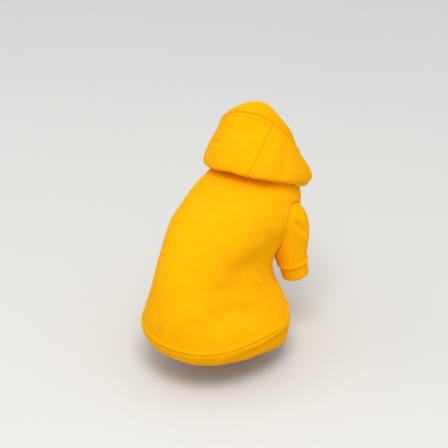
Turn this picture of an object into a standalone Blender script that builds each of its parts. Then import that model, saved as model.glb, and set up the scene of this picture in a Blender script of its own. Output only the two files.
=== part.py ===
"""A small dog's pull-over hoodie in thick fleece, in the form that it has when its wearer sits.

Metres. The wearer faces +Y, +X is its right side and +Z is up. The garment is first worked out from the
centre of its hem seam, and an empty then puts the origin at the withers, on the inner face of the back.
"""

import math

import bmesh
import bpy
from mathutils import Vector
from mathutils.bvhtree import BVHTree

# Cloth.
CLOTH = 0.0025              # fleece, one layer
BAND_CLOTH = 0.0038         # a band is the same cloth folded double
SEAM_GAP = 0.0004           # between pieces that are sewn edge to edge
HOOD_ROOT_GAP = 0.0016      # the same where the hood turns out from the neck
CASING_GAP = 0.0022         # the same at the hood's casing
PANEL_GAP = 0.0010          # the same on the outer face of two curved panels, which narrows inwards

# Body, from the hem seam to the neck seam.
BODY_WIDTH = 0.186          # across the hips, the widest place
BODY_DEPTH = 0.186          # back to belly, along the ground
BODY_HEIGHT = 0.190         # hem seam to neck seam, straight up
SIDE_SEAM_ANGLE = 126.0     # from the middle of the back to the belly panel's seam

# Hem band.
HEM_BAND_HEIGHT = 0.030     # at its tallest, by the right hip
HEM_SEAM_GAP = 0.0014       # on the outer face. It narrows inwards, where the walls lean together
HEM_CURL = 2.2              # how late the band turns in: 1 is a straight slope

# Sleeves and cuffs.
ARMHOLE_LENGTH = 0.066
ARMHOLE_WIDTH = 0.046
ARMHOLE_CUT = 0.028         # how far the cut goes to each side of the cloth
ARMHOLE_ALONG = 0.73        # share of the way from hem to neck
ARMHOLE_AROUND = 114.0      # degrees from the middle of the back
SLEEVE_DROP = 0.053         # armhole's centre down to the cuff seam
SLEEVE_REACH = 0.002        # and forwards
SLEEVE_SPREAD = 0.001       # and out, away from the other sleeve
SLEEVE_OVER_CUFF = 0.001    # how much wider the sleeve is than the cuff
CUFF_GAP = 0.0008           # sleeve to cuff
CUFF_RADIUS = 0.0175
CUFF_HEIGHT = 0.0165
CUFF_LEAN = 13.0            # degrees that its lower end leans out and forwards
CUFF_LEAN_AHEAD = 35.0      # degrees of that lean's direction, 0 straight out and 90 straight forwards

# How the sleeve leaves the armhole, at the armhole's lowest place and at its highest: outwards and up,
# as shares of the way to the cuff.
SLEEVE_LEAVE_LOW = (0.44, -0.28)
SLEEVE_LEAVE_HIGH = (1.18, 0.22)
SLEEVE_ARRIVE = 0.8         # the same at the cuff, along the cuff

# Hood, lying back round the neck.
HOOD_WIDTH = 0.140          # across its lower fold
HOOD_HEIGHT = 0.110         # neck seam's centre up to about the highest point of the free edge
HOOD_ROLL = 0.0060          # how far the lower fold is from sharp

BODY_STEPS, AROUND_STEPS, BELLY_STEPS = 24, 28, 10
SLEEVE_STEPS, SLEEVE_SIDES = 9, 20
HOOD_STEPS, HOOD_SIDES = 13, 17
BAND_STEPS, HEM_SIDES = 4, 52

# The body's sections, from hem to neck. Shares of BODY_DEPTH for y, of BODY_HEIGHT for z and of
# BODY_WIDTH for half_width and aside.
# along, back_y, back_z, front_y, front_z, half_width, aside
BODY_SECTIONS = (
    (0.00, -0.535, 0.029, 0.562, 0.010, 0.492, 0.013),
    (0.14, -0.503, 0.197, 0.551, 0.105, 0.410, -0.003),
    (0.29, -0.441, 0.395, 0.569, 0.180, 0.336, -0.033),
    (0.44, -0.330, 0.574, 0.605, 0.256, 0.320, -0.056),
    (0.59, -0.172, 0.716, 0.688, 0.334, 0.346, -0.063),
    (0.75, 0.021, 0.808, 0.785, 0.430, 0.358, -0.058),
    (0.89, 0.223, 0.866, 0.854, 0.566, 0.338, -0.061),
    (1.00, 0.421, 0.895, 0.871, 0.723, 0.284, -0.070),
)

# The hem band round the hem: shares of HEM_BAND_HEIGHT for its height and for how far it draws in, and
# where along the body its seam lies.
# around, height, draw, seam_along
HEM_BAND = (
    (-180.0, 0.85, 0.12, 0.000),
    (-60.0, 0.67, 0.40, 0.000),
    (20.0, 0.71, 0.45, 0.000),
    (50.0, 0.78, 0.42, 0.013),
    (66.0, 0.88, 0.36, 0.027),
    (84.0, 0.94, 0.28, 0.032),
    (105.0, 1.00, 0.18, 0.012),
    (125.0, 1.00, 0.12, 0.000),
    (180.0, 0.85, 0.12, 0.000),
)

# The body's folds and dents: where they are centred (share along, degrees around), how far they run
# and how wide they are (shares of BODY_HEIGHT), how they lie (degrees, 0 runs round the body) and
# how far they stand out (shares of BODY_DEPTH, below zero a dent).
# along, around, run, breadth, turn, stand
BODY_FOLDS = (
    (0.00, 0.0, 100.0, 0.07, 0.0, -0.016),
    (0.40, 74.0, 0.26, 0.12, 34.0, -0.034),
    (0.29, 58.0, 0.30, 0.07, 12.0, 0.012),
    (0.20, 66.0, 0.30, 0.06, 8.0, -0.011),
    (0.09, 84.0, 0.26, 0.09, -20.0, 0.020),
)

# The hood's rings, each a row for a direction round the neck: 0 is the back, 90 the wearer's right.
# Shares of HOOD_WIDTH for how far they are from the neck's centre, of HOOD_HEIGHT for how high.
# The last is how far the cloth bulges between fold and seam, a share of HOOD_ROLL.
# around, fold_out, fold_up, seam_out, seam_up, edge_out, edge_up, bulge
HOOD_RINGS = (
    (-180.0, 0.420, -0.220, 0.330, 0.036, 0.307, 0.180, 0.7),
    (-135.0, 0.470, -0.140, 0.335, 0.200, 0.307, 0.336, 0.5),
    (-90.0, 0.486, 0.000, 0.343, 0.500, 0.293, 0.627, 0.2),
    (-55.0, 0.504, 0.100, 0.330, 0.690, 0.268, 0.775, 0.3),
    (-20.0, 0.502, 0.210, 0.286, 0.847, 0.200, 0.925, 0.7),
    (0.0, 0.500, 0.257, 0.257, 0.879, 0.157, 0.965, 0.7),
    (35.0, 0.500, 0.228, 0.257, 0.864, 0.171, 0.985, 0.7),
    (60.0, 0.486, 0.145, 0.286, 0.766, 0.214, 0.940, 0.7),
    (90.0, 0.472, 0.014, 0.329, 0.527, 0.271, 0.710, 0.7),
    (135.0, 0.468, -0.150, 0.335, 0.200, 0.307, 0.336, 0.7),
    (180.0, 0.420, -0.220, 0.330, 0.036, 0.307, 0.180, 0.7),
)

# How far the hood's middle has turned to the wearer's right, in degrees, at the neck, fold and casing.
HOOD_TURN = (8.0, 22.6, 59.0)


def clear_scene():
    for thing in list(bpy.data.objects):
        bpy.data.objects.remove(thing)


def smooth_row(table, key):
    """The table's row at key, on a smooth curve through its rows."""
    key = min(max(key, table[0][0]), table[-1][0])
    i = max(n for n in range(len(table) - 1) if table[n][0] <= key)
    here, there = table[i], table[i + 1]
    before, after = table[max(i - 1, 0)], table[min(i + 2, len(table) - 1)]
    gap = there[0] - here[0]
    t = (key - here[0]) / gap
    row = []
    for column in range(1, len(here)):
        start = (there[column] - before[column]) / (there[0] - before[0]) * gap
        end = (after[column] - here[column]) / (after[0] - here[0]) * gap
        row.append(
            (2 * t**3 - 3 * t**2 + 1) * here[column]
            + (t**3 - 2 * t**2 + t) * start
            + (3 * t**2 - 2 * t**3) * there[column]
            + (t**3 - t**2) * end
        )
    return row


def body_form(along, around):
    """A point of the body's outer face without its folds."""
    back_y, back_z, front_y, front_z, half_width, aside = smooth_row(BODY_SECTIONS, along)
    back = Vector((0, back_y * BODY_DEPTH, back_z * BODY_HEIGHT))
    front = Vector((0, front_y * BODY_DEPTH, front_z * BODY_HEIGHT))
    turn = math.radians(around)
    middle = (back + front) / 2 + Vector((aside * BODY_WIDTH, 0, 0))
    across = Vector((half_width * BODY_WIDTH * math.sin(turn), 0, 0))
    return middle + (back - front) / 2 * math.cos(turn) + across


def body_normal(along, around):
    step = 0.01
    low, high = max(along - step, 0.0), min(along + step, 1.0)
    up = body_form(high, around) - body_form(low, around)
    round_ = body_form(along, around + 2.0) - body_form(along, around - 2.0)
    return round_.cross(up).normalized()


def fold_height(along, around):
    """How far the folds push the body's face out at this place."""
    height = 0.0
    girth = math.pi * (BODY_WIDTH + BODY_DEPTH) / 2
    for f_along, f_around, run, breadth, turn, stand in BODY_FOLDS:
        up = (along - f_along) * BODY_HEIGHT
        round_ = (around - f_around) / 360 * girth
        c, s = math.cos(math.radians(turn)), math.sin(math.radians(turn))
        down_the_fold = (round_ * c + up * s) / (run * BODY_HEIGHT)
        over_the_fold = (up * c - round_ * s) / (breadth * BODY_HEIGHT)
        height += stand * BODY_DEPTH * math.exp(-(down_the_fold**2) - over_the_fold**2)
    return height


def body_point(along, around):
    return body_form(along, around) + body_normal(along, around) * fold_height(along, around)


def grid_mesh(name, rows, closed=False):
    """An open surface through rows of points. A closed one joins each row's ends."""
    mesh = bpy.data.meshes.new(name)
    bm = bmesh.new()
    made = [[bm.verts.new(point) for point in row] for row in rows]
    for low, high in zip(made, made[1:]):
        count = len(low)
        for i in range(count if closed else count - 1):
            j = (i + 1) % count
            bm.faces.new((low[i], low[j], high[j], high[i]))
    bm.to_mesh(mesh)
    bm.free()
    return mesh


def material(name, colour, roughness):
    made = bpy.data.materials.new(name)
    made.use_nodes = True
    shader = made.node_tree.nodes["Principled BSDF"]
    shader.inputs["Base Color"].default_value = (*colour, 1.0)
    shader.inputs["Roughness"].default_value = roughness
    shader.inputs["Metallic"].default_value = 0.0
    return made


def add_piece(name, mesh, finish, thickness, garment, origin):
    """The mesh as an object with a wall that grows inwards from its outer face."""
    piece = bpy.data.objects.new(name, mesh)
    piece.parent = origin
    garment.objects.link(piece)
    mesh.materials.append(finish)
    mesh.shade_smooth()
    wall = piece.modifiers.new("wall", "SOLIDIFY")
    wall.thickness = thickness
    wall.offset = -1.0
    wall.use_even_offset = True
    return piece


def span(low, high, steps):
    return [low + (high - low) * i / steps for i in range(steps + 1)]


def hem_row(around):
    """(height, draw, seam_along) of the hem band in this direction."""
    return smooth_row(HEM_BAND, (around + 180.0) % 360.0 - 180.0)


def body_panel(low, high, steps):
    """A panel of the body between two directions, from hem to neck."""
    rows = []
    for share in span(0.0, 1.0, BODY_STEPS):
        step = (body_form(share, high) - body_form(share, high - 1.0)).length
        edge = PANEL_GAP / 2 / step
        row = []
        for turn in span(low + edge, high - edge, steps):
            hem_seam = hem_row(turn)[2]
            row.append(body_point(hem_seam + (1 - hem_seam) * share, turn))
        rows.append(row)
    return rows


def armhole(side):
    """(centre, outward normal, up, fore) of an armhole on the body, side 1 for right and -1 for left."""
    around = ARMHOLE_AROUND * side
    centre = body_point(ARMHOLE_ALONG, around)
    normal = body_normal(ARMHOLE_ALONG, around)
    up = Vector((0, 0, 1))
    up = (up - normal * up.dot(normal)).normalized()
    return centre, normal, up, up.cross(normal) * side


def armhole_ring(side, skin, lift):
    """The armhole's outline on the body, lifted off the outer face by lift."""
    centre, normal, up, fore = armhole(side)
    ring = []
    for i in range(SLEEVE_SIDES):
        turn = 2 * math.pi * i / SLEEVE_SIDES
        flat = (
            centre
            + up * ARMHOLE_LENGTH / 2 * math.cos(turn)
            + fore * ARMHOLE_WIDTH / 2 * math.sin(turn)
        )
        far = flat + normal * BODY_DEPTH / 2
        hit = skin.ray_cast(far, -normal)[0]
        ring.append((hit or flat) + normal * lift)
    return ring


def armhole_cutter(side, cutters, origin):
    """A solid of the armhole's outline that is cut from the body's panels."""
    centre, normal, up, fore = armhole(side)
    rows = []
    for lift in (-ARMHOLE_CUT, ARMHOLE_CUT):
        row = []
        for i in range(SLEEVE_SIDES):
            turn = 2 * math.pi * i / SLEEVE_SIDES
            row.append(
                centre
                + normal * lift
                + up * (ARMHOLE_LENGTH / 2 + SEAM_GAP) * math.cos(turn)
                + fore * (ARMHOLE_WIDTH / 2 + SEAM_GAP) * math.sin(turn)
            )
        rows.append(row)
    mesh = grid_mesh("armhole_cutter", rows, closed=True)
    bm = bmesh.new()
    bm.from_mesh(mesh)
    inner_rim = [e for e in bm.edges if e.is_boundary and e.verts[0].index < SLEEVE_SIDES]
    bmesh.ops.contextual_create(bm, geom=inner_rim)
    bmesh.ops.contextual_create(bm, geom=[e for e in bm.edges if e.is_boundary])
    bmesh.ops.recalc_face_normals(bm, faces=bm.faces)
    bm.to_mesh(mesh)
    bm.free()
    cutter = bpy.data.objects.new("armhole_cutter", mesh)
    cutter.parent = origin
    cutter.hide_render = True
    cutter.display_type = "WIRE"
    cutters.objects.link(cutter)
    return cutter


def cuff_axis(side):
    """The cuff's direction, down and leaning out and forwards."""
    lean, ahead = math.radians(CUFF_LEAN), math.radians(CUFF_LEAN_AHEAD)
    away = Vector((math.cos(ahead) * side, math.sin(ahead), 0))
    return away * math.sin(lean) - Vector((0, 0, math.cos(lean)))


def cuff_ring(side, drop, radius):
    """A ring of the cuff, drop below the cuff seam."""
    axis = cuff_axis(side)
    lean = Vector((0, 0, -1)).rotation_difference(axis)
    seam = armhole(side)[0] + Vector((SLEEVE_SPREAD * side, SLEEVE_REACH, -SLEEVE_DROP))
    ring = []
    for i in range(SLEEVE_SIDES):
        turn = 2 * math.pi * i / SLEEVE_SIDES
        out = Vector((math.cos(turn) * side, math.sin(turn), 0))
        out.rotate(lean)
        ring.append(seam + axis * drop + out * radius)
    return ring


def sleeve_rows(side, skin):
    """Rows of the sleeve, from the armhole to the cuff seam. Each runs round as the armhole does."""
    normal, axis = armhole(side)[1], cuff_axis(side)
    inside = armhole_ring(side, skin, -CLOTH * 0.7)
    start = [point + normal * CLOTH * 1.2 for point in inside]
    radius = CUFF_RADIUS + SLEEVE_OVER_CUFF
    end = cuff_ring(side, -CUFF_GAP - CLOTH, radius)
    rows = [inside]
    for t in span(0.0, 1.0, SLEEVE_STEPS):
        row = []
        for i in range(SLEEVE_SIDES):
            turn = 2 * math.pi * i / SLEEVE_SIDES
            cap = 0.5 + 0.5 * math.cos(turn)
            out, up = (low + (high - low) * cap for low, high in zip(SLEEVE_LEAVE_LOW, SLEEVE_LEAVE_HIGH))
            reach = (end[i] - start[i]).length
            leave = (normal * out + Vector((0, 0, up))) * reach
            arrive = axis * reach * SLEEVE_ARRIVE
            row.append(
                start[i] * (2 * t**3 - 3 * t**2 + 1)
                + leave * (t**3 - 2 * t**2 + t)
                + end[i] * (3 * t**2 - 2 * t**3)
                + arrive * (t**3 - t**2)
            )
        rows.append(row)
    rows.append(cuff_ring(side, -CUFF_GAP, radius))
    return rows


def neck_centre():
    return (body_point(1.0, 0.0) + body_point(1.0, 180.0)) / 2


def hood_turn(share, turn):
    """The direction that the hood's cloth has at this height. The front doesn't turn."""
    low, fold, top = HOOD_TURN
    here = low + (fold - low) * share * 2 if share < 0.5 else fold + (top - fold) * (share * 2 - 1)
    return turn + here * (1 + math.cos(math.radians(turn))) / 2


def hood_row(around):
    return smooth_row(HOOD_RINGS, (around + 180.0) % 360.0 - 180.0)


def hood_spot(kind, around):
    """A point of the hood's fold, casing seam or free edge."""
    row = hood_row(around)
    out, up = row[kind * 2] * HOOD_WIDTH, row[kind * 2 + 1] * HOOD_HEIGHT
    turn = math.radians(around)
    return neck_centre() + Vector((math.sin(turn) * out, -math.cos(turn) * out, up))


def hood_profile(turn):
    """(table of length and place, length at the casing seam), from the neck seam to the free edge."""
    root_turn, fold_turn, seam_turn = (hood_turn(share, turn) for share in (0.0, 0.5, 1.0))
    neck, below = body_point(1.0, root_turn), body_point(0.97, root_turn)
    root = neck + (neck - below).normalized() * HOOD_ROOT_GAP
    fold, seam, edge = hood_spot(0, fold_turn), hood_spot(1, seam_turn), hood_spot(2, seam_turn)
    bulge = hood_row(seam_turn)[6]
    out = fold - neck_centre()
    out.z = 0
    out.normalize()
    up = Vector((0, 0, 1))
    places = (
        root,
        root.lerp(fold, 0.5) - up * HOOD_ROLL * 0.2,
        fold - out * HOOD_ROLL - up * HOOD_ROLL * 0.6,
        fold + up * HOOD_ROLL * 0.5,
        fold.lerp(seam, 0.35) + out * HOOD_ROLL * (bulge + 0.2),
        fold.lerp(seam, 0.70) + out * HOOD_ROLL * bulge,
        seam,
        edge,
    )
    length = 0.0
    table = [(0.0, *places[0])]
    for here, there in zip(places, places[1:]):
        length += (there - here).length
        table.append((length, *there))
    return table, table[-2][0]


def hood_panel(low, high):
    columns = []
    for turn in span(low, high, HOOD_SIDES):
        table, seam = hood_profile(turn)
        columns.append([Vector(smooth_row(table, key)) for key in span(0.0, seam - CASING_GAP / 2, HOOD_STEPS)])
    rows = []
    for row in zip(*columns):
        along = (row[1] - row[0]).normalized()
        back = (row[-2] - row[-1]).normalized()
        rows.append([row[0] + along * PANEL_GAP / 2, *row[1:-1], row[-1] + back * PANEL_GAP / 2])
    return rows


def casing_rows():
    """The band along the hood's opening, from the casing seam to the free edge."""
    columns = []
    for turn in span(-179.3, 179.3, HOOD_SIDES * 2):
        table, seam = hood_profile(turn)
        keys = span(seam + CASING_GAP / 2, table[-1][0], BAND_STEPS)
        columns.append([Vector(smooth_row(table, key)) for key in keys])
    return [list(row) for row in zip(*columns)]


def hem_rows():
    """The hem band, from its free edge up to the hem seam."""
    rows = []
    for share in span(0.0, 1.0, BAND_STEPS):
        row = []
        for i in range(HEM_SIDES):
            around = 360.0 * i / HEM_SIDES - 180.0
            height, draw, hem_seam = hem_row(around)
            out = body_normal(hem_seam, around)
            out.z = 0
            down = HEM_SEAM_GAP + height * HEM_BAND_HEIGHT * (1 - share)
            inwards = out.normalized() * draw * HEM_BAND_HEIGHT * (1 - share) ** HEM_CURL
            row.append(body_point(hem_seam, around) - Vector((0, 0, down)) - inwards)
        rows.append(row)
    return rows


def cuff_rows(side):
    rows = []
    for share in span(0.0, 1.0, BAND_STEPS):
        ring = cuff_ring(side, CUFF_HEIGHT * (1 - share), CUFF_RADIUS)
        rows.append(ring if side == 1 else list(reversed(ring)))
    return rows


def build():
    clear_scene()
    garment = bpy.data.collections.new("dog_hoodie")
    cutters = bpy.data.collections.new("cutters")
    for collection in (garment, cutters):
        bpy.context.scene.collection.children.link(collection)
    fleece = material("yellow_fleece", (0.92, 0.52, 0.01), 0.9)
    band = material("yellow_band", (0.90, 0.48, 0.01), 0.9)

    origin = bpy.data.objects.new("withers", None)
    origin.location = -(body_point(0.90, 0.0) - body_normal(0.90, 0.0) * CLOTH)
    garment.objects.link(origin)

    back = body_panel(-SIDE_SEAM_ANGLE, SIDE_SEAM_ANGLE, AROUND_STEPS)
    belly = body_panel(SIDE_SEAM_ANGLE, 360 - SIDE_SEAM_ANGLE, BELLY_STEPS)
    back_piece = add_piece("back_panel", grid_mesh("back_panel", back), fleece, CLOTH, garment, origin)
    belly_piece = add_piece("belly_panel", grid_mesh("belly_panel", belly), fleece, CLOTH, garment, origin)

    whole = [a[:-1] + b[:-1] for a, b in zip(back, belly)]
    skin_mesh = grid_mesh("skin", whole, closed=True)
    bm = bmesh.new()
    bm.from_mesh(skin_mesh)
    skin = BVHTree.FromBMesh(bm)
    bm.free()

    for side, word in ((1, "right"), (-1, "left")):
        cutter = armhole_cutter(side, cutters, origin)
        for piece in (back_piece, belly_piece):
            cut = piece.modifiers.new("armhole", "BOOLEAN")
            cut.operation = "DIFFERENCE"
            cut.object = cutter
        rows = sleeve_rows(side, skin)
        if side == 1:
            rows = [list(reversed(row)) for row in rows]
        sleeve = grid_mesh("sleeve_" + word, rows, closed=True)
        add_piece("sleeve_" + word, sleeve, fleece, CLOTH, garment, origin)
        cuff = grid_mesh("cuff_" + word, cuff_rows(side), closed=True)
        add_piece("cuff_" + word, cuff, band, BAND_CLOTH, garment, origin)

    hem = grid_mesh("hem_band", hem_rows(), closed=True)
    add_piece("hem_band", hem, band, BAND_CLOTH, garment, origin)
    for word, low, high in (("left", -179.3, 0.0), ("right", 0.0, 179.3)):
        panel = grid_mesh("hood_" + word, hood_panel(low, high))
        add_piece("hood_" + word, panel, fleece, CLOTH, garment, origin)
    casing = grid_mesh("hood_casing", casing_rows())
    add_piece("hood_casing", casing, band, BAND_CLOTH, garment, origin)


build()
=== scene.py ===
"""A small dog's pull-over hoodie in thick golden-yellow fleece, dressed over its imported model.

Metres, +Z up. The wearer faces +Y and +X is its right side. The cloth is worked out from the centre of the
hem seam and then moved so that the origin is at the withers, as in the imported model.
"""

import math
from functools import lru_cache

import bmesh
import bpy
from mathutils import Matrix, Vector, noise
from mathutils.bvhtree import BVHTree


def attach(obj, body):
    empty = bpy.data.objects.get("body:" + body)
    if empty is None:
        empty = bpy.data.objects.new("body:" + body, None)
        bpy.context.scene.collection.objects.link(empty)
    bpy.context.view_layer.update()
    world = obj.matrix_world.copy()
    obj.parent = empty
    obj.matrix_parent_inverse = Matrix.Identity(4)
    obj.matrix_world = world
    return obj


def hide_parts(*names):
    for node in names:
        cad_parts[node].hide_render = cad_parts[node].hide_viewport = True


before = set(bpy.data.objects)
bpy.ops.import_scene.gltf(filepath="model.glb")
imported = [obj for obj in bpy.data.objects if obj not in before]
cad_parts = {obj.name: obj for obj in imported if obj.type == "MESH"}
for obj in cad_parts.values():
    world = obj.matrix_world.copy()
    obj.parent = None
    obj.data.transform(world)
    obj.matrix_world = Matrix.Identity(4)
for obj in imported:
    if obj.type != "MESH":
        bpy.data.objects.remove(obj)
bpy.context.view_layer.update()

# Cloth.
CLOTH = 0.0025              # fleece, one layer
BAND_CLOTH = 0.0038         # a band is the same cloth folded double

# The photograph's line of sight, from behind and above and from the wearer's right.
AZIMUTH = math.radians(35.0)
ELEVATION = math.radians(30.0)
SIGHT = Vector((
    -math.sin(AZIMUTH) * math.cos(ELEVATION),
    math.cos(AZIMUTH) * math.cos(ELEVATION),
    -math.sin(ELEVATION),
))

# Body, from the hem seam to the neck seam.
BODY_WIDTH = 0.186          # across the hips, the widest place
BODY_DEPTH = 0.186          # back to belly, along the ground
BODY_HEIGHT = 0.190         # hem seam to neck seam, straight up
SIDE_SEAM_ANGLE = 126.0     # from the middle of the back to the belly panel's seam
HEM_BAND_HEIGHT = 0.030     # at its tallest, by the right hip
HEM_CURL = 2.2              # how late the band turns in: 1 is a straight slope

# Sleeves and cuffs.
ARMHOLE_LENGTH = 0.066
ARMHOLE_WIDTH = 0.046
ARMHOLE_ALONG = 0.73        # share of the way from hem to neck
ARMHOLE_AROUND = 114.0      # degrees from the middle of the back
SLEEVE_DROP = 0.053         # armhole's centre down to the cuff seam
SLEEVE_REACH = 0.002        # and forwards
SLEEVE_SPREAD = 0.001       # and out, away from the other sleeve
SLEEVE_OVER_CUFF = 0.001    # how much wider the sleeve is than the cuff
CUFF_RADIUS = 0.0175
CUFF_HEIGHT = 0.0165
CUFF_LEAN = 13.0            # degrees that its lower end leans out and forwards
CUFF_LEAN_AHEAD = 35.0      # degrees of that lean's direction, 0 straight out and 90 straight forwards
ARMHOLE_THICK = 0.035       # how far from the armhole's flat its seam is still looked for
ARMHOLE_FINE = 0.007        # how far from its seam the body's grid is cut finer
ARMHOLE_GAP = 0.0012        # from its seam in to the body's cut edge
ARMHOLE_EDGE = (-0.004, 0.001)      # cut points this far from the seam are moved onto that edge

# How much of the armhole seam shows: the least, and where round it, in radians from its top forwards, it
# shows most.
ARMHOLE_FAINT = 0.06
ARMHOLE_CLEAR_TURN = 0.5

# How the sleeve leaves the armhole, at the armhole's lowest place and at its highest: outwards and up,
# as shares of the way to the cuff.
SLEEVE_LEAVE_LOW = (0.18, -0.45)
SLEEVE_LEAVE_HIGH = (1.05, 0.10)
SLEEVE_ARRIVE = 0.8         # the same at the cuff, along the cuff
SLEEVE_CROWN = 0.0022       # how far the sleeve's head puffs out
SLEEVE_SINK = 0.0004        # how far its root lies under the body's face
SLEEVE_RUN_ON = 0.28        # how far its back leaves the armhole forwards, as the body's cloth runs there
SLEEVE_RUN_FLAT = 0.35      # share of the outwards way that it loses there
SLEEVE_FULL = 0.0065        # how far the slack cloth under the arm hangs towards the body
SLEEVE_FULL_TURN = -145.0   # degrees from its top, backwards

# Hood, lying back round the neck.
HOOD_WIDTH = 0.140          # across its lower fold
HOOD_HEIGHT = 0.110         # neck seam's centre up to the highest point of the free edge
HOOD_ROLL = 0.0060          # how far the lower fold is from sharp
HOOD_TURN = (8.0, 22.6, 59.0)   # degrees that its middle has turned to the right, at neck, fold and edge band

# Seams: the groove where two pieces are sewn, the soft ridge beside it and the puckers that stitches draw.
# name: groove_depth, groove_width, ridge_height, pucker_height
SEAMS = {
    "hem": (0.0030, 0.0017, 0.0012, 0.0005),
    "neck": (0.0012, 0.0015, 0.0004, 0.0003),
    "side": (0.0010, 0.0012, 0.0003, 0.0003),
    "armhole": (0.0016, 0.0014, 0.0003, 0.0003),
    "cuff": (0.0022, 0.0015, 0.0012, 0.0004),
    "casing": (0.0023, 0.0015, 0.0009, 0.0004),
    "hood": (0.0010, 0.0011, 0.0003, 0.0003),
}
RIDGE_FROM_SEAM = 2.6       # grooves' widths from the seam to the ridge
RIDGE_WIDTH = 1.7           # grooves' widths
PUCKER_LENGTH = 0.0075      # along the seam
PUCKER_REACH = 0.0075       # into the cloth
TUCK = 0.0014               # how far a band's edge goes under the cloth that it is sewn to
MERGE = 0.00001             # points nearer than this are one, where a grid meets itself

# Each piece's flat cloth. A band is folded double, and its second size is its height.
# piece: length, width
FLAT = {
    "back": (0.36, 0.22),
    "belly": (0.135, 0.155),
    "sleeve": (0.140, 0.053),
    "hood_right": (0.125, 0.096),
    "hood_left": (0.155, 0.118),
    "cuff": (0.112, 0.0172),
    "casing": (0.265, 0.0192),
    "hem": (0.575, 0.0275),
}

# How unevenly the cloth lies: its height and how far apart its soft waves are.
WAVE_HEIGHT = 0.0008
WAVE_LENGTH = 0.028
SHORT_WAVES = 2.7           # how many times closer the shorter waves are
SHORT_WAVE_HEIGHT = 0.35    # and their height, a share of WAVE_HEIGHT

# The body's sections, from hem to neck. Shares of BODY_DEPTH for y, of BODY_HEIGHT for z and of
# BODY_WIDTH for half_width and aside.
# along, back_y, back_z, front_y, front_z, half_width, aside
BODY_SECTIONS = (
    (0.00, -0.535, 0.029, 0.562, 0.010, 0.492, 0.013),
    (0.14, -0.503, 0.197, 0.551, 0.105, 0.410, -0.003),
    (0.29, -0.441, 0.395, 0.569, 0.180, 0.336, -0.033),
    (0.44, -0.330, 0.574, 0.605, 0.256, 0.320, -0.056),
    (0.59, -0.172, 0.716, 0.688, 0.334, 0.346, -0.063),
    (0.75, 0.021, 0.808, 0.785, 0.430, 0.358, -0.058),
    (0.89, 0.223, 0.866, 0.854, 0.566, 0.338, -0.061),
    (1.00, 0.421, 0.895, 0.871, 0.723, 0.284, -0.070),
)

# The hem band round the hem: shares of HEM_BAND_HEIGHT for its height and for how far it draws in, and
# where along the body its seam lies.
# around, height, draw, seam_along
HEM_BAND = (
    (-180.0, 0.85, 0.12, 0.000),
    (-60.0, 0.67, 0.40, 0.000),
    (20.0, 0.71, 0.45, 0.000),
    (50.0, 0.78, 0.42, 0.013),
    (66.0, 0.88, 0.36, 0.027),
    (84.0, 0.94, 0.28, 0.032),
    (105.0, 1.00, 0.18, 0.012),
    (125.0, 1.00, 0.12, 0.000),
    (180.0, 0.85, 0.12, 0.000),
)

# The body's folds and dents: where they are centred (share along, degrees around), how far they run
# and how wide they are (shares of BODY_HEIGHT), how they lie (degrees, 0 runs round the body) and
# how far they stand out (shares of BODY_DEPTH, below zero a dent).
# along, around, run, breadth, turn, stand
BODY_FOLDS = (
    (0.00, 0.0, 100.0, 0.07, 0.0, -0.016),
    (0.40, 74.0, 0.26, 0.12, 34.0, -0.034),
    (0.29, 58.0, 0.30, 0.07, 12.0, 0.012),
    (0.20, 66.0, 0.30, 0.06, 8.0, -0.011),
    (0.09, 84.0, 0.26, 0.09, -20.0, 0.020),
)

# The hood's rings, each a row for a direction round the neck: 0 is the back, 90 the wearer's right.
# Shares of HOOD_WIDTH for how far they are from the neck's centre, of HOOD_HEIGHT for how high.
# The last is how far the cloth bulges between fold and seam, a share of HOOD_ROLL.
# around, fold_out, fold_up, seam_out, seam_up, edge_out, edge_up, bulge
HOOD_RINGS = (
    (-180.0, 0.420, -0.220, 0.330, 0.036, 0.307, 0.180, 0.7),
    (-135.0, 0.470, -0.140, 0.335, 0.200, 0.307, 0.336, 0.5),
    (-90.0, 0.486, 0.000, 0.343, 0.500, 0.293, 0.627, 0.2),
    (-55.0, 0.504, 0.100, 0.330, 0.690, 0.268, 0.775, 0.3),
    (-20.0, 0.502, 0.210, 0.286, 0.847, 0.200, 0.925, 0.7),
    (0.0, 0.500, 0.257, 0.257, 0.879, 0.157, 0.965, 0.7),
    (35.0, 0.500, 0.228, 0.257, 0.864, 0.171, 0.985, 0.7),
    (60.0, 0.486, 0.145, 0.286, 0.766, 0.214, 0.940, 0.7),
    (90.0, 0.472, 0.014, 0.329, 0.527, 0.271, 0.710, 0.7),
    (135.0, 0.468, -0.150, 0.335, 0.200, 0.307, 0.336, 0.7),
    (180.0, 0.420, -0.220, 0.330, 0.036, 0.307, 0.180, 0.7),
)


def smooth_row(table, key):
    """The table's row at key, on a smooth curve through its rows."""
    key = min(max(key, table[0][0]), table[-1][0])
    i = max(n for n in range(len(table) - 1) if table[n][0] <= key)
    here, there = table[i], table[i + 1]
    before, after = table[max(i - 1, 0)], table[min(i + 2, len(table) - 1)]
    gap = there[0] - here[0]
    t = (key - here[0]) / gap
    row = []
    for column in range(1, len(here)):
        start = (there[column] - before[column]) / (there[0] - before[0]) * gap
        end = (after[column] - here[column]) / (after[0] - here[0]) * gap
        row.append(
            (2 * t**3 - 3 * t**2 + 1) * here[column]
            + (t**3 - 2 * t**2 + t) * start
            + (3 * t**2 - 2 * t**3) * there[column]
            + (t**3 - t**2) * end
        )
    return row


@lru_cache(maxsize=None)
def body_section(along):
    return smooth_row(BODY_SECTIONS, along)


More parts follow.
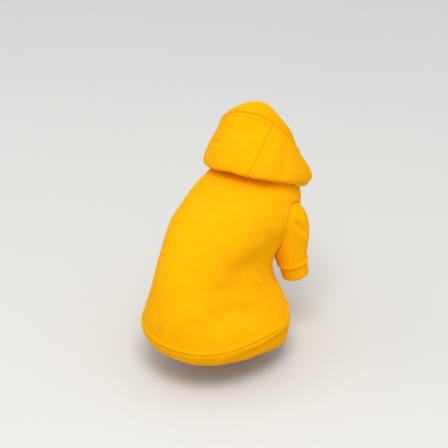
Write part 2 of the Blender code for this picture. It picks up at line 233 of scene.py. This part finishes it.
def body_form(along, around):
    """A point of the body's outer face without its folds."""
    back_y, back_z, front_y, front_z, half_width, aside = body_section(along)
    back = Vector((0, back_y * BODY_DEPTH, back_z * BODY_HEIGHT))
    front = Vector((0, front_y * BODY_DEPTH, front_z * BODY_HEIGHT))
    turn = math.radians(around)
    middle = (back + front) / 2 + Vector((aside * BODY_WIDTH, 0, 0))
    across = Vector((half_width * BODY_WIDTH * math.sin(turn), 0, 0))
    return middle + (back - front) / 2 * math.cos(turn) + across


def body_normal(along, around):
    step = 0.01
    low, high = max(along - step, 0.0), min(along + step, 1.0)
    up = body_form(high, around) - body_form(low, around)
    sideways = body_form(along, around + 2.0) - body_form(along, around - 2.0)
    return sideways.cross(up).normalized()


def fold_height(along, around):
    """How far the folds push the body's face out at this place."""
    height = 0.0
    girth = math.pi * (BODY_WIDTH + BODY_DEPTH) / 2
    for f_along, f_around, run, breadth, turn, stand in BODY_FOLDS:
        up = (along - f_along) * BODY_HEIGHT
        sideways = (around - f_around) / 360 * girth
        c, s = math.cos(math.radians(turn)), math.sin(math.radians(turn))
        down_the_fold = (sideways * c + up * s) / (run * BODY_HEIGHT)
        over_the_fold = (up * c - sideways * s) / (breadth * BODY_HEIGHT)
        height += stand * BODY_DEPTH * math.exp(-(down_the_fold**2) - over_the_fold**2)
    return height


@lru_cache(maxsize=None)
def body_point(along, around):
    return body_form(along, around) + body_normal(along, around) * fold_height(along, around)


ORIGIN = -(body_point(0.90, 0.0) - body_normal(0.90, 0.0) * CLOTH)


def crowd(share, pull):
    """The share, with more of a grid's lines near both of its ends."""
    return share - pull * math.sin(2 * math.pi * share) / (2 * math.pi)


def seam_relief(kind, distance, run):
    """The cloth's height this far from a seam of this kind, run metres along it."""
    depth, width, ridge, pucker = SEAMS[kind]
    if distance > PUCKER_REACH * 3:
        return 0.0
    near = math.exp(-((distance / width) ** 2))
    beside = math.exp(-(((distance / width - RIDGE_FROM_SEAM) / RIDGE_WIDTH) ** 2))
    draw = noise.noise(Vector((run / PUCKER_LENGTH, depth * 9000, 0.0)))
    fade = math.exp(-((distance / PUCKER_REACH) ** 2)) * (1 - near)
    return ridge * beside - depth * near + 2 * pucker * draw * fade


def soft_waves(point):
    """The uneven lie of thick cloth: long soft waves with shorter ones on them."""
    broad = noise.noise(point / WAVE_LENGTH)
    short = noise.noise(point / WAVE_LENGTH * SHORT_WAVES + Vector((5.0, 1.0, 3.0)))
    return WAVE_HEIGHT * (broad + SHORT_WAVE_HEIGHT * short)


# Creases and soft lips, drawn as the photograph shows them, so that their distances are across its line of
# sight. Both ends in millimetres from the withers, breadth across it and height, also in millimetres. Below
# zero it is a crease, above zero a lip.
# from_x, from_y, from_z, to_x, to_y, to_z, breadth, height
CREASE_TABLE = (
    (75.4, 41.5, -42.5, 82.0, 57.0, -65.0, 3.2, -3.2),
    (73.0, 38.8, -49.0, 80.6, 52.0, -73.0, 3.6, 1.3),
    (57.0, -40.0, -76.0, 60.2, 4.0, -106.0, 8.0, -3.2),
    (60.3, -0.4, -105.6, 60.3, 5.6, -109.0, 2.0, -2.0),
    (60.4, 4.0, -103.0, 60.0, 10.0, -105.0, 3.4, 1.6),
    (60.0, 8.0, -112.0, 70.0, 20.0, -138.0, 4.0, 2.0),
    (46.0, -92.0, -87.0, 65.7, -16.9, -110.0, 7.0, -2.6),
    (64.0, -72.0, -104.5, 73.5, -21.7, -121.5, 7.0, 1.5),
    (58.0, -96.0, -109.5, 80.9, -39.2, -127.5, 7.0, -2.6),
    (96.5, 6.0, -169.0, 102.1, -37.0, -161.5, 2.6, -2.8),
    (102.1, -37.0, -161.5, 93.5, -76.0, -165.5, 2.6, -3.8),
    (93.5, -76.0, -165.5, 80.0, -98.0, -170.5, 4.0, -2.2),
    (98.0, 0.0, -161.5, 102.0, -41.0, -155.0, 2.4, 1.6),
    (102.0, -41.0, -155.0, 90.0, -84.0, -158.5, 2.6, 1.8),
    (-44.0, 31.0, 38.0, -27.0, 21.8, 44.8, 2.2, -2.8),
    (-40.0, 26.0, 34.5, -26.0, 20.5, 41.0, 3.0, 1.4),
    (44.7, 25.0, 24.9, 42.2, 54.4, 55.6, 6.0, 1.4),
    (56.3, 38.0, 14.0, 52.6, 52.6, 31.8, 4.0, -1.6),
    (64.0, -6.0, -44.0, 60.0, 24.0, -72.0, 6.0, -2.0),
)
CREASE_DEPTH = 0.016        # how far along the line of sight from a drawn point a crease still shows
CREASE_END = 0.25           # share of its height that is left at its ends


def across_sight(way):
    return way - SIGHT * way.dot(SIGHT)


def crease(row):
    """(start, way, both across the line of sight, depths at start and end, breadth, height)."""
    start, end = Vector(row[0:3]) / 1000 - ORIGIN, Vector(row[3:6]) / 1000 - ORIGIN
    breadth, height = row[6] / 1000, row[7] / 1000
    return across_sight(start), across_sight(end - start), start.dot(SIGHT), end.dot(SIGHT), breadth, height


CREASES = [crease(row) for row in CREASE_TABLE]


def crease_relief(point):
    """How far the drawn creases and soft lips move the cloth at this point."""
    flat, depth = across_sight(point), point.dot(SIGHT)
    height = 0.0
    for start, way, near, far, breadth, stand in CREASES:
        t = min(max((flat - start).dot(way) / way.length_squared, 0.0), 1.0)
        distance = (flat - start - way * t).length
        off = (depth - near - (far - near) * t) / CREASE_DEPTH
        if distance < breadth * 3 and abs(off) < 1:
            fade = (1 - off**4) ** 2
            full = CREASE_END + (1 - CREASE_END) * (1 - (2 * t - 1) ** 4)
            height += stand * math.exp(-((distance / breadth) ** 2)) * full * fade
    return height


def cloth(across, along, place, flat, relief=None, pull=(0.7, 0.7), closed=False, fine=None):
    """A mesh of cloth: a flat grid, its lines crowded towards its seams by pull, laid on place(u, v) and
    raised by relief(u, v, point). fine(u, v) says where the grid is cut finer. Its UV map is the flat cloth
    in metres."""
    bm = bmesh.new()
    bmesh.ops.create_grid(bm, x_segments=across, y_segments=along, size=0.5)
    for vert in bm.verts:
        vert.co = (crowd(vert.co.x + 0.5, pull[0]), crowd(vert.co.y + 0.5, pull[1]), 0.0)
    if fine:
        near = [edge for edge in bm.edges if all(fine(v.co.x, v.co.y) for v in edge.verts)]
        bmesh.ops.subdivide_edges(bm, edges=near, cuts=1, use_grid_fill=True)
    uv_map = bm.loops.layers.uv.new("cloth")
    share_u = bm.verts.layers.float.new("share_u")
    share_v = bm.verts.layers.float.new("share_v")
    for face in bm.faces:
        for loop in face.loops:
            loop[uv_map].uv = (loop.vert.co.x * flat[0], loop.vert.co.y * flat[1])
    for vert in bm.verts:
        u, v = vert.co.x, vert.co.y
        vert[share_u], vert[share_v] = u, v
        vert.co = place(u, v)
    if closed:
        bmesh.ops.remove_doubles(bm, verts=bm.verts, dist=MERGE)
    bm.normal_update()
    if relief:
        heights = [(v, v.normal.copy(), relief(v[share_u], v[share_v], v.co.copy())) for v in bm.verts]
        for vert, normal, height in heights:
            vert.co += normal * height
        bm.normal_update()
    return bm


def finish_piece(name, bm, finish, node, wall=None):
    """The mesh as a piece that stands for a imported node. A wall grows inwards from the outer face."""
    bmesh.ops.translate(bm, verts=bm.verts, vec=ORIGIN)
    mesh = bpy.data.meshes.new(name)
    bm.to_mesh(mesh)
    bm.free()
    mesh.materials.append(finish)
    mesh.shade_smooth()
    piece = bpy.data.objects.new(name, mesh)
    bpy.context.scene.collection.objects.link(piece)
    if wall:
        thick = piece.modifiers.new("wall", "SOLIDIFY")
        thick.thickness = wall
        thick.offset = -1.0
        thick.use_even_offset = False
    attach(piece, "root")
    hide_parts(node)
    return piece


def band(name, around_steps, face, rises=False, relief=None):
    """A ring of cloth folded double, as a mesh. face(turn, share) is its outer face from seam to free edge,
    which lies above the seam if it rises, and both of its edges are round."""
    step = 0.01
    sign = -1 if rises else 1

    def outward(turn, share):
        low, high = max(share - step, 0.0), min(share + step, 1.0)
        sideways = face(turn + 1.0, share) - face(turn - 1.0, share)
        return sideways.cross(face(turn, low) - face(turn, high)).normalized() * sign

    def place(u, v):
        turn = u * 360.0 - 180.0
        share = 0.5 + 0.5 * math.cos(2 * math.pi * v)
        full = (1 - abs(2 * share - 1) ** 7) ** 0.5
        height = BAND_CLOTH / 2 * full * (1 if v < 0.5 else -1)
        if relief and v < 0.5:
            height += relief(turn, share) * full
        return face(turn, share) + outward(turn, share) * (height - BAND_CLOTH / 2)

    length, height = FLAT[name]
    bm = cloth(around_steps, 56, place, (length, 2 * height), pull=(0.0, 0.0), closed=True)
    bmesh.ops.recalc_face_normals(bm, faces=bm.faces)
    return bm


# Body.

def hem_row(around):
    """(height, draw, seam_along) of the hem band in this direction."""
    return smooth_row(HEM_BAND, (around + 180.0) % 360.0 - 180.0)


@lru_cache(maxsize=None)
def body_spot(share, around):
    """A point of the body from its hem seam, 0, to its neck seam, 1."""
    hem_seam = hem_row(around)[2]
    return body_point(hem_seam + (1 - hem_seam) * share, around)


def body_place(low, high):
    def place(u, v):
        return body_spot(v, low + (high - low) * u).copy()
    return place


def armhole(side):
    """(centre, outward normal, up, fore) of an armhole on the body, side 1 for right and -1 for left."""
    around = ARMHOLE_AROUND * side
    centre = body_point(ARMHOLE_ALONG, around)
    normal = body_normal(ARMHOLE_ALONG, around)
    up = Vector((0, 0, 1))
    up = (up - normal * up.dot(normal)).normalized()
    return centre, normal, up, up.cross(normal) * side


ARMHOLES = {side: armhole(side) for side in (1, -1)}


def armhole_distance(point):
    """(distance from the nearest armhole's seam, below zero inside it, direction round it in radians)."""
    best = (1.0, 0.0)
    for centre, normal, up, fore in ARMHOLES.values():
        way = point - centre
        if abs(way.dot(normal)) > ARMHOLE_THICK:
            continue
        a, b = way.dot(up) / (ARMHOLE_LENGTH / 2), way.dot(fore) / (ARMHOLE_WIDTH / 2)
        radius = max(math.hypot(a, b), 0.001)
        slope = math.hypot(a / (ARMHOLE_LENGTH / 2), b / (ARMHOLE_WIDTH / 2)) / radius
        distance = (radius - 1) / slope
        if abs(distance) < abs(best[0]):
            best = (distance, math.atan2(b, a))
    return best


def armhole_draw(turn):
    """How much of the armhole seam shows: most at the shoulder, little where the cloth runs on behind."""
    return ARMHOLE_FAINT + (0.5 + 0.5 * math.cos(turn - ARMHOLE_CLEAR_TURN)) ** 3


def body_relief(low, high):
    girth = math.pi * (BODY_WIDTH + BODY_DEPTH) / 2

    def relief(u, v, point):
        around = low + (high - low) * u
        run = around / 360 * girth
        height = soft_waves(point) + crease_relief(point)
        height += seam_relief("hem", (point - body_spot(0.0, around)).length, run)
        height += seam_relief("neck", (point - body_spot(1.0, around)).length, run)
        for edge in (low, high):
            height += seam_relief("side", (point - body_spot(v, edge)).length, v * BODY_HEIGHT)
        distance, turn = armhole_distance(point)
        armhole_seam = seam_relief("armhole", abs(distance), turn * ARMHOLE_LENGTH / 2)
        return height + armhole_seam * armhole_draw(turn)

    return relief


def near_armhole(low, high):
    def fine(u, v):
        return abs(armhole_distance(body_spot(v, low + (high - low) * u))[0]) < ARMHOLE_FINE
    return fine


def open_armholes(bm):
    """Takes out the cloth inside the armholes and rounds the edge that is left."""
    inside = [f for f in bm.faces if armhole_distance(f.calc_center_median())[0] < -ARMHOLE_GAP]
    bmesh.ops.delete(bm, geom=inside, context="FACES")
    for vert in bm.verts:
        distance = armhole_distance(vert.co)[0]
        if vert.is_boundary and ARMHOLE_EDGE[0] < distance < ARMHOLE_EDGE[1]:
            for centre, normal, *_ in ARMHOLES.values():
                way = vert.co - centre
                if way.length < ARMHOLE_LENGTH:
                    away = way - normal * way.dot(normal)
                    vert.co -= away.normalized() * (distance + ARMHOLE_GAP)


# Sleeves and cuffs.

def cuff_frame(side):
    """(centre of the cuff seam, the cuff's direction, its lean)."""
    lean, ahead = math.radians(CUFF_LEAN), math.radians(CUFF_LEAN_AHEAD)
    away = Vector((math.cos(ahead) * side, math.sin(ahead), 0))
    axis = away * math.sin(lean) - Vector((0, 0, math.cos(lean)))
    seam = ARMHOLES[side][0] + Vector((SLEEVE_SPREAD * side, SLEEVE_REACH, -SLEEVE_DROP))
    return seam, axis, Vector((0, 0, -1)).rotation_difference(axis)


def sleeve_face(side, skin):
    """A function of (turn in degrees, share) for the sleeve's outer face, from armhole to cuff seam."""
    centre, normal, up, fore = ARMHOLES[side]
    seam, axis, lean = cuff_frame(side)

    @lru_cache(maxsize=None)
    def ends(turn):
        c, s = math.cos(turn), math.sin(turn)
        flat = centre + up * ARMHOLE_LENGTH / 2 * c + fore * ARMHOLE_WIDTH / 2 * s
        hit = skin.ray_cast(flat + normal * BODY_DEPTH / 2, -normal)[0]
        start = (hit or flat) - normal * SLEEVE_SINK
        out = Vector((c * side, s, 0))
        out.rotate(lean)
        end = seam + out * (CUFF_RADIUS + SLEEVE_OVER_CUFF)
        cap = 0.5 + 0.5 * c
        limits = zip(SLEEVE_LEAVE_LOW, SLEEVE_LEAVE_HIGH)
        outwards, upwards = (low + (high - low) * cap for low, high in limits)
        behind = max(-s, 0.0)
        reach = (end - start).length
        leave = normal * outwards * (1 - SLEEVE_RUN_FLAT * behind) + fore * SLEEVE_RUN_ON * behind
        leave = (leave + Vector((0, 0, upwards))) * reach
        full_turn = math.radians(SLEEVE_FULL_TURN)
        slack = Vector((math.cos(full_turn) * side, math.sin(full_turn), 0))
        slack *= max(math.cos(turn - full_turn), 0.0) ** 2 * SLEEVE_FULL
        return start, end, leave, axis * reach * SLEEVE_ARRIVE, normal * cap * SLEEVE_CROWN + slack

    def face(turn, t):
        start, end, leave, arrive, crown = ends(math.radians(turn))
        return (
            start * (2 * t**3 - 3 * t**2 + 1)
            + leave * (t**3 - 2 * t**2 + t)
            + end * (3 * t**2 - 2 * t**3)
            + arrive * (t**3 - t**2)
            + crown * math.sin(math.pi * t) ** 2
        )

    return face


def sleeve_cloth(side, skin):
    face = sleeve_face(side, skin)

    def place(u, v):
        return face((u * 360.0 - 180.0) * side, 1 - v)

    def relief(u, v, point):
        turn = (u * 360.0 - 180.0) * side
        from_top = math.radians(turn)
        from_root, from_cuff = ((point - face(turn, end)).length for end in (0.0, 1.0))
        height = soft_waves(point) + crease_relief(point)
        height += seam_relief("armhole", from_root, from_top * ARMHOLE_LENGTH / 2) * armhole_draw(from_top)
        return height + seam_relief("cuff", from_cuff, from_top * CUFF_RADIUS)

    return cloth(160, 100, place, FLAT["sleeve"], relief, pull=(0.0, 0.75), closed=True)


def cuff_band(side):
    seam, axis, lean = cuff_frame(side)

    def face(turn, share):
        turn = math.radians(turn)
        out = Vector((math.cos(turn), math.sin(turn), 0))
        out.rotate(lean)
        return seam + out * CUFF_RADIUS + axis * (CUFF_HEIGHT * share - TUCK * (1 - share))

    return band("cuff", 120, face)


# Hood.

NECK_CENTRE = (body_point(1.0, 0.0) + body_point(1.0, 180.0)) / 2


def hood_turn(share, turn):
    """The direction that the hood's cloth has at this height. The front doesn't turn."""
    low, fold, top = HOOD_TURN
    here = low + (fold - low) * share * 2 if share < 0.5 else fold + (top - fold) * (share * 2 - 1)
    return turn + here * (1 + math.cos(math.radians(turn))) / 2


def hood_row(around):
    return smooth_row(HOOD_RINGS, (around + 180.0) % 360.0 - 180.0)


def hood_spot(kind, around):
    """A point of the hood's fold, casing seam or free edge."""
    row = hood_row(around)
    out, up = row[kind * 2] * HOOD_WIDTH, row[kind * 2 + 1] * HOOD_HEIGHT
    turn = math.radians(around)
    return NECK_CENTRE + Vector((math.sin(turn) * out, -math.cos(turn) * out, up))


@lru_cache(maxsize=None)
def hood_profile(turn):
    """(table of length and place, length at the casing seam), from the neck seam to the free edge."""
    root_turn, fold_turn, seam_turn = (hood_turn(share, turn) for share in (0.0, 0.5, 1.0))
    root = body_point(1.0, root_turn)
    fold, seam, edge = hood_spot(0, fold_turn), hood_spot(1, seam_turn), hood_spot(2, seam_turn)
    bulge = hood_row(seam_turn)[6]
    out = fold - NECK_CENTRE
    out.z = 0
    out.normalize()
    up = Vector((0, 0, 1))
    places = (
        root,
        root.lerp(fold, 0.5) - up * HOOD_ROLL * 0.2,
        fold - out * HOOD_ROLL - up * HOOD_ROLL * 0.6,
        fold + up * HOOD_ROLL * 0.5,
        fold.lerp(seam, 0.35) + out * HOOD_ROLL * (bulge + 0.2),
        fold.lerp(seam, 0.70) + out * HOOD_ROLL * bulge,
        seam,
        edge,
    )
    length = 0.0
    table = [(0.0, *places[0])]
    for here, there in zip(places, places[1:]):
        length += (there - here).length
        table.append((length, *there))
    return tuple(table), table[-2][0]


def hood_place(turn, share):
    """A point of the hood from neck seam, 0, to casing seam, 1, and on to its free edge, 2."""
    table, seam = hood_profile(turn)
    key = seam * share if share <= 1 else seam + (table[-1][0] - seam) * (share - 1)
    return Vector(smooth_row(table, key))


def hood_cloth(low, high, flat):
    def place(u, v):
        return hood_place(low + (high - low) * u, v)

    def relief(u, v, point):
        turn = low + (high - low) * u
        height = soft_waves(point) + crease_relief(point)
        run = math.radians(turn) * HOOD_WIDTH / 3
        height += seam_relief("casing", (1 - v) * hood_profile(turn)[1], run)
        for edge in (low, high):
            height += seam_relief("hood", (point - hood_place(edge, v)).length, v * HOOD_HEIGHT)
        return height

    return cloth(130, 110, place, flat, relief, pull=(0.75, 0.75))


def casing_band():
    def face(turn, share):
        turn = (turn + 180.0) % 360.0 - 180.0
        tuck = TUCK / hood_profile(turn)[1]
        return hood_place(turn, 1 - tuck + (1 + tuck) * share if share < 1 else 2.0)

    return band("casing", 260, face, rises=True)


# Hem.

def hem_band():
    def face(turn, share):
        turn = (turn + 180.0) % 360.0 - 180.0
        height, draw, hem_seam = hem_row(turn)
        out = body_normal(hem_seam, turn)
        out.z = 0
        down = height * HEM_BAND_HEIGHT * share - TUCK * (1 - share)
        inwards = out.normalized() * draw * HEM_BAND_HEIGHT * share**HEM_CURL
        return body_point(hem_seam, turn) - Vector((0, 0, down)) - inwards

    def relief(turn, share):
        return soft_waves(face(turn, share)) + crease_relief(face(turn, share))

    return band("hem", 440, face, relief=relief)


# Finishes.

STITCH_SLANT = math.radians(32.0)


def link(tree, start, end):
    tree.links.new(start, end)


def add_node(tree, kind, **values):
    """A new node. Values with a capital are its sockets', the others its own settings."""
    node = tree.nodes.new(kind)
    for key, value in values.items():
        if key[0].isupper():
            node.inputs[key].default_value = value
        else:
            setattr(node, key, value)
    return node


def stripes(tree, place, direction, pitch):
    """Soft stripes, pitch metres apart in the given direction of place."""
    wave = add_node(tree, "ShaderNodeTexWave", wave_type="BANDS", bands_direction=direction)
    wave.inputs["Scale"].default_value = math.pi / 10 / pitch
    link(tree, place, wave.inputs["Vector"])
    return wave


def knit_height(tree, wale, course):
    """A fine knit's height from the cloth's UV map: columns of small V stitches, wale and course in metres."""
    flat = add_node(tree, "ShaderNodeUVMap", uv_map="cloth").outputs["UV"]
    turned = []
    for slant in (STITCH_SLANT, -STITCH_SLANT):
        lie = add_node(tree, "ShaderNodeMapping", Rotation=(0.0, 0.0, slant))
        link(tree, flat, lie.inputs["Vector"])
        turned.append(stripes(tree, lie.outputs["Vector"], "Y", course))
    columns = stripes(tree, flat, "X", wale)
    pick = add_node(tree, "ShaderNodeMix", data_type="FLOAT")
    link(tree, columns.outputs["Fac"], pick.inputs["Factor"])
    link(tree, turned[0].outputs["Fac"], pick.inputs["A"])
    link(tree, turned[1].outputs["Fac"], pick.inputs["B"])
    return pick.outputs["Result"]


def fleece_finish(name, dark, light, wale, course):
    """Sweatshirt fleece: soft mottling, a fine knit and the short fuzz on it. Sizes in metres."""
    made = bpy.data.materials.new(name)
    made.use_nodes = True
    tree = made.node_tree
    shader = tree.nodes["Principled BSDF"]
    place = add_node(tree, "ShaderNodeTexCoord").outputs["Object"]
    mottle = add_node(tree, "ShaderNodeTexNoise", Scale=70.0, Detail=5.0, Roughness=0.62)
    fuzz = add_node(tree, "ShaderNodeTexNoise", Scale=1500.0, Detail=2.0, Roughness=0.7)
    for texture in (mottle, fuzz):
        link(tree, place, texture.inputs["Vector"])
    shade = add_node(tree, "ShaderNodeValToRGB")
    for element, position, color in zip(shade.color_ramp.elements, (0.25, 0.75), (dark, light)):
        element.position = position
        element.color = (*color, 1.0)
    link(tree, mottle.outputs["Fac"], shade.inputs["Fac"])
    link(tree, shade.outputs["Color"], shader.inputs["Base Color"])
    rough = add_node(tree, "ShaderNodeMapRange")
    rough.inputs["To Min"].default_value = 0.84
    rough.inputs["To Max"].default_value = 0.98
    link(tree, fuzz.outputs["Fac"], rough.inputs["Value"])
    link(tree, rough.outputs["Result"], shader.inputs["Roughness"])
    knit = add_node(tree, "ShaderNodeBump", Strength=0.4, Distance=0.00025)
    nap = add_node(tree, "ShaderNodeBump", Strength=0.35, Distance=0.0003)
    link(tree, knit_height(tree, wale, course), knit.inputs["Height"])
    link(tree, fuzz.outputs["Fac"], nap.inputs["Height"])
    link(tree, knit.outputs["Normal"], nap.inputs["Normal"])
    link(tree, nap.outputs["Normal"], shader.inputs["Normal"])
    shader.inputs["Specular IOR Level"].default_value = 0.03
    shader.inputs["Sheen Weight"].default_value = 0.04
    shader.inputs["Sheen Roughness"].default_value = 0.5
    shader.inputs["Sheen Tint"].default_value = (1.0, 0.55, 0.0, 1.0)
    return made


def floor_finish():
    made = bpy.data.materials.new("pale_floor")
    made.use_nodes = True
    tree = made.node_tree
    shader = tree.nodes["Principled BSDF"]
    place = add_node(tree, "ShaderNodeTexCoord").outputs["Object"]
    cloudy = add_node(tree, "ShaderNodeTexNoise", Scale=2.0, Detail=2.0)
    link(tree, place, cloudy.inputs["Vector"])
    shade = add_node(tree, "ShaderNodeValToRGB")
    shade.color_ramp.elements[0].color = (0.665, 0.667, 0.650, 1.0)
    shade.color_ramp.elements[1].color = (0.695, 0.697, 0.680, 1.0)
    link(tree, cloudy.outputs["Fac"], shade.inputs["Fac"])
    link(tree, shade.outputs["Color"], shader.inputs["Base Color"])
    shader.inputs["Roughness"].default_value = 0.8
    shader.inputs["Specular IOR Level"].default_value = 0.1
    return made


def dress():
    """All the pieces of the hoodie, each built as a sheet of cloth."""
    fleece = fleece_finish("golden_fleece", (0.90, 0.405, 0.001), (0.97, 0.455, 0.002), 0.0013, 0.0010)
    folded = fleece_finish("golden_band", (0.88, 0.385, 0.001), (0.96, 0.435, 0.002), 0.0011, 0.0009)

    skin_mesh = bmesh.new()
    for name, low, high, steps in (
        ("back", -SIDE_SEAM_ANGLE, SIDE_SEAM_ANGLE, 230),
        ("belly", SIDE_SEAM_ANGLE, 360 - SIDE_SEAM_ANGLE, 90),
    ):
        place, relief = body_place(low, high), body_relief(low, high)
        bm = cloth(steps, 150, place, FLAT[name], relief, fine=near_armhole(low, high))
        copy = bpy.data.meshes.new("skin")
        bm.to_mesh(copy)
        skin_mesh.from_mesh(copy)
        bpy.data.meshes.remove(copy)
        open_armholes(bm)
        piece = finish_piece(name + "_cloth", bm, fleece, name + "_panel", wall=CLOTH)
    skin = BVHTree.FromBMesh(skin_mesh)
    skin_mesh.free()

    for side, word, low, high in ((1, "right", 0.0, 180.0), (-1, "left", -180.0, 0.0)):
        bm = sleeve_cloth(side, skin)
        piece = finish_piece("sleeve_cloth_" + word, bm, fleece, "sleeve_" + word, wall=CLOTH)
        piece = finish_piece("cuff_cloth_" + word, cuff_band(side), folded, "cuff_" + word)
        hood = "hood_" + word
        bm = hood_cloth(low, high, FLAT[hood])
        piece = finish_piece("hood_cloth_" + word, bm, fleece, hood, wall=CLOTH)
    piece = finish_piece("hood_casing_cloth", casing_band(), folded, "hood_casing")
    piece = finish_piece("hem_cloth", hem_band(), folded, "hem_band")


# Floor, light and camera.

FLOOR_SIZE = 8.0
FLOOR_HEIGHT = -0.215       # a little under the hem
LOOK_AT = Vector((-0.0113, 0.0113, -0.0605))
CAMERA_AWAY = 2.6
VIEW_WIDTH = 0.56           # what the picture's width takes in at that distance
SENSOR = 36.0               # millimetres, the camera's own width
SKY_STRENGTH = 0.78

# name, place, size, power
LIGHTS = (
    ("key", (0.55, -0.75, 1.75), 1.0, 22.5),
    ("fill", (-1.3, -0.9, 1.0), 1.4, 3.0),
)


def studio():
    """The pale floor, soft light and the camera at the photograph's angle."""
    bm = bmesh.new()
    bmesh.ops.create_grid(bm, x_segments=4, y_segments=4, size=FLOOR_SIZE / 2)
    bmesh.ops.translate(bm, verts=bm.verts, vec=(0, 0, FLOOR_HEIGHT))
    mesh = bpy.data.meshes.new("floor")
    bm.to_mesh(mesh)
    bm.free()
    mesh.materials.append(floor_finish())
    floor = bpy.data.objects.new("floor", mesh)
    bpy.context.scene.collection.objects.link(floor)

    world = bpy.data.worlds.new("studio")
    bpy.context.scene.world = world
    world.use_nodes = True
    sky = world.node_tree.nodes["Background"]
    sky.inputs["Color"].default_value = (1.0, 1.0, 1.0, 1.0)
    sky.inputs["Strength"].default_value = SKY_STRENGTH
    for name, place, size, power in LIGHTS:
        light = bpy.data.lights.new(name, "AREA")
        light.size = size
        light.energy = power
        lamp = bpy.data.objects.new(name, light)
        lamp.location = place
        lamp.rotation_euler = (LOOK_AT - Vector(place)).to_track_quat("-Z", "Y").to_euler()
        bpy.context.scene.collection.objects.link(lamp)

    lens = bpy.data.cameras.new("camera")
    lens.lens = SENSOR * CAMERA_AWAY / VIEW_WIDTH
    lens.clip_start = 0.05
    camera = bpy.data.objects.new("camera", lens)
    camera.location = LOOK_AT - SIGHT * CAMERA_AWAY
    camera.rotation_euler = SIGHT.to_track_quat("-Z", "Y").to_euler()
    bpy.context.scene.collection.objects.link(camera)
    bpy.context.scene.camera = camera
    bpy.context.scene.view_settings.view_transform = "Standard"


dress()
studio()
